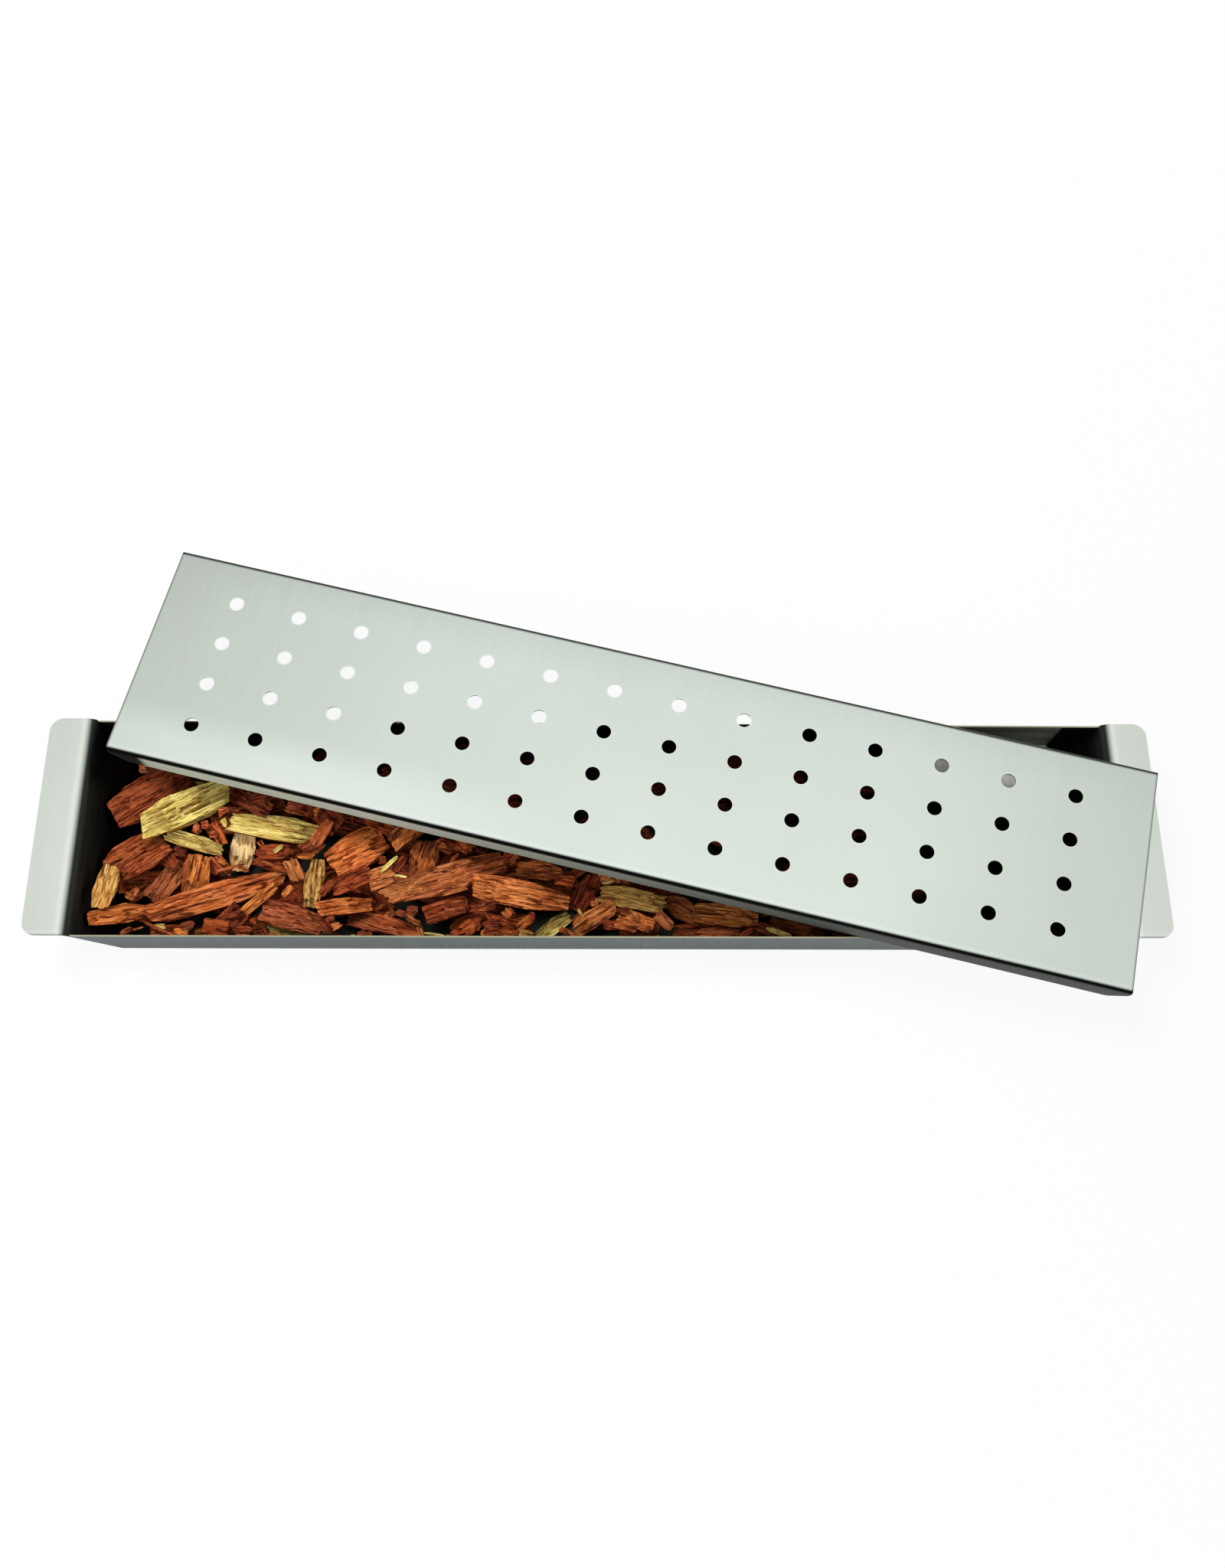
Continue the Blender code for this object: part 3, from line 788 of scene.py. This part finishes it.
class Hull:
    """A convex solid in its own frame: how high, low and far it reaches at a place."""

    def __init__(self, points, faces):
        self.points = points
        corners = points[faces]
        normals = np.cross(corners[:, 1] - corners[:, 0], corners[:, 2] - corners[:, 0])
        size = np.linalg.norm(normals, axis=1)
        keep = size > size.max() * 1e-6
        normals = normals[keep] / size[keep][:, None]
        offsets = np.einsum("ij,ij->i", normals, corners[keep][:, 0])
        inside = points.mean(0)
        flip = np.where(normals @ inside > offsets, -1, 1)
        self.normals = normals * flip[:, None]
        self.offsets = offsets * flip

    def level(self, x, y, side):
        """The height of the upper (side 1) or lower (side -1) surface."""
        pick = self.normals[:, 2] * side > 0.05
        n, d = self.normals[pick], self.offsets[pick]
        z = (d[:, None] - n[:, :1] * x[None] - n[:, 1:2] * y[None]) / n[:, 2:]
        return z.min(0) if side > 0 else z.max(0)

    def reach(self, y):
        """The lowest and highest x of the solid, seen from above, at a place across it."""
        low, high = [], []
        ring = convex_ring(self.points[:, :2])
        for at in y:
            crossed = []
            for (ax, ay), (bx, by) in zip(ring, np.roll(ring, -1, axis=0)):
                if (ay - at) * (by - at) <= 0 and ay != by:
                    crossed.append(ax + (bx - ax) * (at - ay) / (by - ay))
            low.append(min(crossed))
            high.append(max(crossed))
        return np.array(low), np.array(high)


def convex_ring(points):
    """The outline of points in a plane, anticlockwise."""
    order = sorted(map(tuple, points))

    def chain(run):
        kept = []
        for p in run:
            while len(kept) > 1 and ((kept[-1][0] - kept[-2][0]) * (p[1] - kept[-2][1])
                                     - (kept[-1][1] - kept[-2][1]) * (p[0] - kept[-2][0])) <= 0:
                kept.pop()
            kept.append(p)
        return kept[:-1]

    return np.array(chain(order) + chain(order[::-1]))


def noise_grid(x, y, seed, size, octaves=2):
    """Smooth noise from -1 to 1 with its own grain sizes along x and y."""
    return np.array([[noise.fractal((a / size[0], b / size[1], seed), 1, 2, octaves,
                                    noise_basis="PERLIN_ORIGINAL")
                      for a, b in zip(row_x, row_y)] for row_x, row_y in zip(x, y)])


def shed_plies(ys, t, seed, draw):
    """Where plies have split off from an end, as shares of the thickness."""
    gone = np.zeros((len(ys), len(t)))
    width = ys[-1] - ys[0]
    for turn in range(draw.randint(*ply_count)):
        centre = draw.uniform(ys[0], ys[-1])
        half = draw.uniform(*ply_half_share) * width
        far = draw.uniform(*ply_far_share)
        share = draw.uniform(*ply_depth_share)
        ragged = np.array([far * (1 + 0.9 * noise.noise((y / ply_ragged, turn, seed))) for y in ys])
        from_end = t if draw.random() < 0.5 else 1 - t
        inside = np.clip((ragged[:, None] - from_end[None]) / ply_end_share, 0, 1)
        within = np.clip((half - np.abs(ys - centre)) / ply_edge, 0, 1)[:, None]
        gone = np.maximum(gone, share * inside * within)
    return gone


def ragged_ends(hull, ys, seed, jag):
    """Where each fibre starts and ends along x."""
    start, end = hull.reach(ys)
    span = end - start

    def trimmed(shift):
        clump = np.array([noise.noise((y / clump_size, shift, seed)) for y in ys])
        splinter = np.array([noise.noise((y / splinter_size, shift + 7, seed)) for y in ys])
        ragged = np.clip(0.5 + 0.9 * clump + 0.9 * splinter, 0, 1.5)
        return ragged * jag * np.minimum(span, jag_span) + end_inset_share * span

    return start + trimmed(1.3), end - trimmed(5.1)


def grooves(ys, y, t, draw, coarse):
    """A few cracks that run in from an end, 1 at their deepest."""
    groove = np.zeros_like(y)
    for _ in range(draw.randint(*groove_count)):
        line = draw.uniform(ys[1], ys[-2])
        at = draw.choice((0, 1))
        far = draw.uniform(*groove_share)
        bend = draw.uniform(-groove_bend, groove_bend)
        distance = np.abs(y - line - bend * t[None])
        deep = np.clip(1 - distance / (groove_half * coarse), 0, 1)
        groove = np.maximum(groove, deep * np.clip(1 - np.abs(t[None] - at) / far, 0, 1) ** 0.5)
    return groove


def closed_faces(rows, stations):
    """Faces over two grids of points: those of the upper side, and all the others."""
    grid = np.arange(rows * stations).reshape(rows, stations)
    a, b, c, d = grid[:-1, :-1], grid[:-1, 1:], grid[1:, 1:], grid[1:, :-1]
    upper = np.stack([a, b, c, d], -1).reshape(-1, 4)
    lower = np.stack([d, c, b, a], -1).reshape(-1, 4) + rows * stations
    ring = np.concatenate([grid[0, :-1], grid[:-1, -1], grid[-1, :0:-1], grid[:0:-1, 0]])
    after = np.roll(ring, -1)
    side = np.stack([after, ring, ring + rows * stations, after + rows * stations], -1)
    return upper, np.concatenate([lower, side])


def chip_piece(hull, draw, coarse=1.0, jag=chip_jag_share):
    """A split chip inside a hull: fibres along x of unlike length, ledges and cracks."""
    low, high = hull.points.min(0), hull.points.max(0)
    length, width = (high - low)[:2]
    rows = max(least_fibres, int(width / (fibre_pitch * coarse)))
    stations = max(least_stations, int(length / (station_pitch * coarse)))
    inset = side_inset_share * width
    ys = np.linspace(low[1] + inset, high[1] - inset, rows)
    seed = draw.uniform(0, 500)
    start, end = ragged_ends(hull, ys, seed, jag * draw.choice(jag_choices))
    t = np.linspace(0, 1, stations)
    x = start[:, None] + (end - start)[:, None] * t[None]
    y = np.repeat(ys[:, None], stations, 1)
    top, bottom = (hull.level(x.ravel(), y.ravel(), side).reshape(x.shape) for side in (1, -1))
    room = np.maximum(top - bottom, least_thickness)

    fibre = noise_grid(x, y, seed, fibre_size, 3)
    wave = noise_grid(x, y, seed + 31, wave_size)
    step = noise_grid(x, y, seed + 67, ledge_size)
    ledge = np.floor((step + 1) * ledge_steps) / ledge_steps - ledge_level
    fine = fibre_depth * (0.5 - 0.5 * fibre)
    groove = grooves(ys, y, t, draw, coarse)
    sink = fine + wave_depth * (0.5 + 0.5 * wave) + ledge_depth * np.clip(-ledge, 0, 1)
    sink = sink + groove_depth * groove + shed_plies(ys, t, seed, draw) * room
    sink = np.minimum(sink, np.minimum(room * most_sunk_share, most_sunk))
    top = top - sink
    under = under_wave * (0.5 + 0.5 * wave[::-1, ::-1]) + under_fibre * (0.5 + 0.5 * fibre)
    bottom = bottom + np.minimum(under, room * under_share)
    thin = np.clip(np.minimum(t, 1 - t) / end_thins_share, 0.35, 1)[None]
    centre = (top + bottom) / 2
    top, bottom = centre + (top - centre) * thin, centre + (bottom - centre) * thin

    verts = np.concatenate([np.stack([x, y, z], -1).reshape(-1, 3) for z in (top, bottom)])
    upper, others = closed_faces(rows, stations)
    # painted shade, from how deep each point is sunk
    hollow = np.clip(fine / fibre_shade + groove + (sink - fine) / sunk_shade, 0, 1)
    return {
        "verts": verts,
        "faces": np.concatenate([upper, others]),
        "kinds": np.concatenate([np.zeros(len(upper), int), np.ones(len(others), int)]),
        "grain": verts + np.array([draw.uniform(0, 9) for _ in range(3)]),
        # the underside and the sides get strong painted shade
        "hollow": np.concatenate([hollow.ravel(), np.full(rows * stations, 0.9)]),
    }


def moved(piece, matrix):
    turn = np.array(matrix)
    return {**piece, "verts": piece["verts"] @ turn[:3, :3].T + turn[:3, 3]}


def joined(pieces):
    counts = np.cumsum([0] + [len(p["verts"]) for p in pieces[:-1]])
    made = {key: np.concatenate([p[key] for p in pieces]) for key in ("verts", "kinds", "grain", "hollow")}
    made["faces"] = np.concatenate([p["faces"] + start for p, start in zip(pieces, counts)])
    return made


def wood_object(name, piece, materials):
    mesh = bpy.data.meshes.new(name)
    mesh.from_pydata(piece["verts"].tolist(), [], piece["faces"].tolist())
    mesh.polygons.foreach_set("material_index", piece["kinds"].astype(np.int32))
    for key, kind, field in (("grain", "FLOAT_VECTOR", "vector"), ("hollow", "FLOAT", "value")):
        values = mesh.attributes.new(key, kind, "POINT").data
        values.foreach_set(field, piece[key].astype(np.float32).ravel())
    mesh.update()
    for material in materials:
        mesh.materials.append(material)
    made = link_object(name, mesh)
    crisp(made, wood_crease)
    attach(made, "tray_body")
    return made


def own_frame(points):
    """A frame with x along the points' longest spread and z across the thinnest, upward."""
    middle_point = (points.min(0) + points.max(0)) / 2
    _, _, axes = np.linalg.svd(points - points.mean(0), full_matrices=False)
    along, _, across = axes
    if across[2] < 0:
        across = -across
    if along[0] < 0:
        along = -along
    wide = np.cross(across, along)
    matrix = Matrix((along, wide, across)).transposed().to_4x4()
    matrix.translation = Vector(middle_point)
    return matrix


def node_points(node):
    mesh = frame["nodes"][node].data
    points = np.array([v.co for v in mesh.vertices], float)
    mesh.calc_loop_triangles()
    faces = np.array([t.vertices for t in mesh.loop_triangles])
    return points, faces


def build_chip(node, tones, draw):
    points, faces = node_points(node)
    matrix = own_frame(points)
    back = np.array(matrix.inverted())
    local = points @ back[:3, :3].T + back[:3, 3]
    slot = next(s["material_slot"] for s in frame["record"]["subparts"] if s["node"] == node)
    piece = moved(chip_piece(Hull(local, faces), draw), matrix)
    made = wood_object(node + "_split", piece, tones[slot])
    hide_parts(node)
    return made


# Loose bits


class Ground:
    """Heights of the filled tray on a grid, on which loose bits are laid one by one."""

    def __init__(self, tray, chips):
        verts, faces, shown, start = [], [], [], 0
        for piece in [tray] + chips:
            mesh = piece.data
            verts += [piece.matrix_world @ v.co for v in mesh.vertices]
            faces += [[start + i for i in p.vertices] for p in mesh.polygons]
            shown += [piece in chips[first_shown_chip - 1:]] * len(mesh.polygons)
            start = len(verts)
        self.tree = BVHTree.FromPolygons(verts, faces)
        half_x, half_y = rim_length / 2, tray_width / 2 + heap_margin
        self.xs = np.arange(-half_x, half_x, heap_cell)
        self.ys = np.arange(-half_y, half_y, heap_cell)
        found = [[self.look_down(x, y, shown) for y in self.ys] for x in self.xs]
        self.height, self.shown = np.moveaxis(np.array(found), 2, 0)
        to_lid = lid_pose().inverted()
        grid_x, grid_y = np.meshgrid(self.xs, self.ys, indexing="ij")
        along, across = (row[0] * grid_x + row[1] * grid_y + row[3] for row in to_lid[:2])
        foot = lid_height - flange_depth + along * math.sin(lid_tip) - 2 * rest_gap
        near = np.abs(np.abs(across) - lid_width / 2) < sheet + lid_margin
        near &= np.abs(along) < lid_length / 2 + lid_margin
        rim = tray_depth - heap_below_rim
        self.roof = np.where(near, np.minimum(rim, foot), rim)
        in_front = across < lid_overlap - lid_width / 2
        beside_lid = in_front | (along < lid_overlap - lid_length / 2)
        clear = self.height < tray_depth / 2
        self.open = beside_lid & clear & (grid_x > open_left_end - floor_length / 2)
        covered = ~beside_lid & clear
        self.lid_edge = covered & (across < lid_edge_reach - lid_width / 2)
        self.covered = covered & (grid_x < under_lid_end)

    def look_down(self, x, y, shown):
        place, _, face, _ = self.tree.ray_cast(Vector((x, y, 2 * tray_depth)), Vector((0, 0, -1)))
        if place is None:
            return 2 * tray_depth, 0
        return place.z, shown[face]

    def fit(self, place, size, heading, slopes, ceiling, commit=False):
        """The height of a flat bit laid at a place, or None where it finds no room."""
        length, width, thick = size
        reach = math.hypot(length, width) / 2
        pick_x = np.abs(self.xs - place[0]) < reach
        pick_y = np.abs(self.ys - place[1]) < reach
        dx, dy = np.meshgrid(self.xs[pick_x] - place[0], self.ys[pick_y] - place[1], indexing="ij")
        along = dx * math.cos(heading) + dy * math.sin(heading)
        across = dy * math.cos(heading) - dx * math.sin(heading)
        inside = (np.abs(along) < length / 2) & (np.abs(across) < (width + heap_cell) / 2)
        if not inside.any():
            return None
        lean = along * slopes[0] + across * slopes[1]
        window = np.ix_(pick_x, pick_y)
        if self.shown[window][inside].mean() > cover_share:
            return None
        height = float((self.height[window] - lean)[inside].max()) + thick / 2
        top = height + lean + thick / 2
        if (top > np.minimum(self.roof[window], ceiling))[inside].any():
            return None
        if commit:
            sunk = top - loose_sinks_share * thick
            self.height[window] = np.where(inside, np.maximum(self.height[window], sunk),
                                           self.height[window])
        return height


def split_hull(size, draw):
    """A small split piece: the hull of four uneven cross-sections."""
    length, width, thick = size
    bm = bmesh.new()
    for along, least in bit_section_shares:
        for across in (-0.5, 0.5):
            x = along * length * draw.uniform(0.75, 1)
            y = across * width * draw.uniform(least, 1)
            for up in (-0.5, 0.5):
                bm.verts.new((x, y, up * thick * draw.uniform(least, 1)))
    bmesh.ops.convex_hull(bm, input=bm.verts)
    bmesh.ops.triangulate(bm, faces=bm.faces)
    points = np.array([v.co for v in bm.verts])
    bm.verts.index_update()
    faces = np.array([[v.index for v in f.verts] for f in bm.faces])
    bm.free()
    return Hull(points, faces)


def lay_bit(ground, size, draw, where, ceiling):
    """Try places for a bit and keep the lowest."""
    best = None
    cells = np.argwhere(where)
    for _ in range(loose_tries):
        i, j = cells[draw.randrange(len(cells))]
        place = (ground.xs[i], ground.ys[j])
        heading = draw.uniform(-loose_heading, loose_heading)
        slopes = tuple(draw.uniform(-most, most) for most in loose_slopes)
        height = ground.fit(place, size, heading, slopes, ceiling)
        if height is not None and (best is None or height < best[0]):
            best = (height, place, heading, slopes)
    if best is None:
        return None
    height, place, heading, slopes = best
    ground.fit(place, size, heading, slopes, ceiling, commit=True)
    turn = (Matrix.Rotation(heading, 4, "Z") @ Matrix.Rotation(-math.atan(slopes[0]), 4, "Y")
            @ Matrix.Rotation(math.atan(slopes[1]), 4, "X"))
    return Matrix.Translation((*place, height)) @ turn


def build_loose_bits(ground, tones):
    draw = random.Random(loose_seed)
    bits = {}
    for kinds, where, ceiling in ((lid_edge_kinds, ground.lid_edge, lid_edge_ceiling),
                                  (under_lid_kinds, ground.covered, under_lid_ceiling),
                                  (loose_kinds, ground.open, open_ceiling)):
        for tone, count, *spans in kinds:
            for _ in range(count):
                size = tuple(draw.uniform(*span) * MM for span in spans)
                matrix = lay_bit(ground, size, draw, where, ceiling)
                if matrix is None:
                    continue
                piece = chip_piece(split_hull(size, draw), draw, loose_coarse, loose_jag_share)
                bits.setdefault("wood_" + tone, []).append(moved(piece, matrix))
    for slot, pieces in sorted(bits.items()):
        wood_object("loose_" + slot, joined(pieces), tones[slot])


# Studio


def aim_camera():
    back = Vector((math.sin(camera_azimuth) * math.cos(camera_elevation),
                   -math.cos(camera_azimuth) * math.cos(camera_elevation),
                   math.sin(camera_elevation)))
    level = Vector((math.cos(camera_azimuth), math.sin(camera_azimuth), 0))
    upward = back.cross(level)
    right = level * math.cos(camera_roll) + upward * math.sin(camera_roll)
    up = upward * math.cos(camera_roll) - level * math.sin(camera_roll)
    matrix = Matrix((right, up, back)).transposed().to_4x4()
    matrix.translation = camera_target + back * camera_distance
    data = bpy.data.cameras.new("camera")
    data.sensor_width = sensor_mm
    data.lens = focal_px * sensor_mm / image_height_px
    camera = link_object("camera", data)
    camera.matrix_world = matrix
    bpy.context.scene.camera = camera


def shown_to_lens(nodes):
    """1 for rays that make a picture: from the camera, and mirrored or seen through glass."""
    path = nodes.add("ShaderNodeLightPath").outputs
    seen = nodes.math("MAXIMUM", path["Is Camera Ray"], path["Is Glossy Ray"])
    return nodes.math("MAXIMUM", seen, path["Is Transmission Ray"])


def softbox(nodes):
    """White to the camera; what metal mirrors is brightest overhead and falls off to the sides."""
    toward = nodes.add("ShaderNodeTexCoord").outputs["Generated"]
    parts = []
    for axis, centre, spread in sky_spread:
        away = nodes.math("SUBTRACT", nodes.axis(toward, axis), centre)
        parts.append(nodes.math("DIVIDE", away, spread))
    loss = nodes.remap(nodes.squares(*parts), 0.0, 0.7, 0.0, sky_loss)
    camera = nodes.add("ShaderNodeLightPath").outputs["Is Camera Ray"]
    mirrored = nodes.math("SUBTRACT", 1.0, camera)
    return nodes.math("SUBTRACT", 1.0, nodes.product(loss, mirrored))


def build_world():
    world = bpy.data.worlds.new("studio")
    bpy.context.scene.world = world
    world.use_nodes = True
    nodes = Nodes(world.node_tree)
    soft = nodes.fed("ShaderNodeBackground", (1.0, 1.0, 0.98, 1), sky_light)
    white = nodes.fed("ShaderNodeBackground", (1, 1, 1, 1), softbox(nodes))
    nodes.show_mixed(shown_to_lens(nodes), soft, white, "ShaderNodeOutputWorld")


def build_floor():
    bm = bmesh.new()
    bmesh.ops.create_grid(bm, x_segments=1, y_segments=1, size=floor_size)
    floor = object_from(bm, "floor")
    floor.location.z = -floor_drop
    made, nodes = new_material("floor")
    place = nodes.add("ShaderNodeTexCoord").outputs["Object"]
    cloud = nodes.noise(place, floor_cloud_scale)
    paper = nodes.fed("ShaderNodeBsdfDiffuse",
                      nodes.mix(cloud, (0.86, 0.86, 0.86, 1), (0.90, 0.90, 0.90, 1)))
    glow = nodes.fed("ShaderNodeEmission", (1, 1, 1, 1), 1.0)
    away = nodes.math("SQRT", nodes.squares(nodes.axis(place, "X"), nodes.axis(place, "Y")))
    glowing = nodes.product(shown_to_lens(nodes), nodes.remap(away, *floor_glow, 0.92, 1.0))
    nodes.show_mixed(glowing, paper, glow, "ShaderNodeOutputMaterial")
    floor.data.materials.append(made)


def build_lamp(name, place, size, power):
    data = bpy.data.lights.new(name, "AREA")
    data.size = size
    data.energy = power
    lamp = link_object(name, data)
    lamp.location = place
    lamp.rotation_euler = (-Vector(place)).to_track_quat("-Z", "Y").to_euler()
    lamp.visible_glossy = False


def dress_steel(piece, steels, pick, body, node):
    """Give each face of a piece the steel that pick names for it."""
    slots = list(steels)
    for name in slots:
        piece.data.materials.append(steels[name])
    for face in piece.data.polygons:
        face.material_index = slots.index(pick(face.center, face.normal))
    crisp(piece, steel_crease)
    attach(piece, body)
    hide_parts(node)


def main():
    aim_camera()
    build_world()
    build_floor()
    for lamp in lamps:
        build_lamp(*lamp)

    steels = build_steels()
    tray = build_tray()
    apply_modifiers(tray)
    dress_steel(tray, steels, tray_steel, "tray_body", "tray")
    dress_steel(build_lid(), steels, lid_steel, "lid_body", "lid")

    tones = build_woods()
    names = sorted(name for name in frame["nodes"] if name.startswith("wood_chip_"))
    chips = [build_chip(name, tones, random.Random(name)) for name in names]
    build_loose_bits(Ground(tray, chips), tones)


main()
scene = bpy.context.scene
scene.view_settings.view_transform = "Standard"
